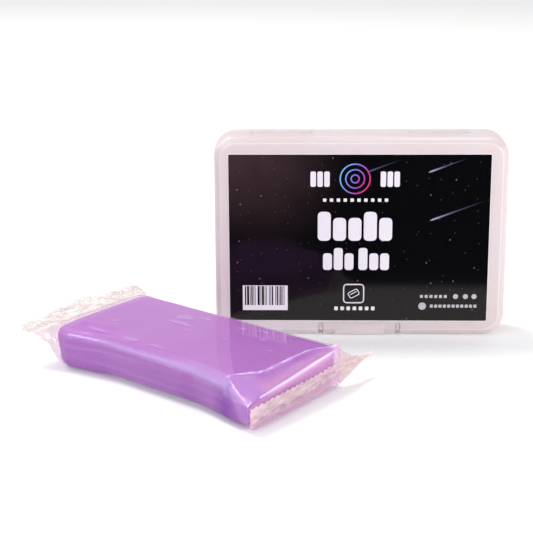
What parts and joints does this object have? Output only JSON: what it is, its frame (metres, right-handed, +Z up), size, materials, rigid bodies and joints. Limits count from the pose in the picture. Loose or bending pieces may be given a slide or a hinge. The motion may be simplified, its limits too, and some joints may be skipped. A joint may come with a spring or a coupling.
{
  "type": "clay bar",
  "caption": "Soft detailing clay bar sealed in clear film, with the hinged translucent plastic storage case it is kept in.",
  "frame": {"origin": "middle of the narrow side that the closed case stands on, halfway through its depth", "axes": "+X along the case's width, +Y from the lid's face to the base's back, +Z up"},
  "size_m": [0.1547, 0.107, 0.0665],
  "materials": {
    "frosted_shell": "frosted polypropylene, satin",
    "frosted_web": "thin frosted polypropylene",
    "label": "printed paper under a gloss laminate",
    "clay": "smooth putty",
    "clear_film": "clear glossy packaging film"
  },
  "bodies": {
    "case_front": {"case_lid": "frosted_shell", "lid_label": "label", "hinge_web_left": "frosted_web", "hinge_web_right": "frosted_web"},
    "case_rear": {"case_base": "frosted_shell"},
    "latch": {"latch_tab": "frosted_shell"},
    "wrapped_bar": {"clay_bar": "clay", "wrapper_sleeve": "clear_film", "end_seal_left": "clear_film", "end_seal_right": "clear_film", "back_seam": "clear_film"}
  },
  "joints": [
    {"name": "case_hinge", "type": "hinge", "parent": "case_front", "child": "case_rear", "pos_m": [0, 0, 0.0667], "axis": [1, 0, 0], "range_deg": [0, 180], "deforming": ["hinge_web_left", "hinge_web_right"]},
    {"name": "latch_flex", "type": "hinge", "parent": "case_front", "child": "latch", "pos_m": [0, -0.00745, 0.00425], "axis": [-1, 0, 0], "range_deg": [0, 12], "stiffness_Nm_per_rad": 0.16},
    {"name": "bar_lift", "type": "slide", "parent": "case_front", "child": "wrapped_bar", "axis": [0, 0, 1], "range_m": [0, 0.05]}
  ]
}
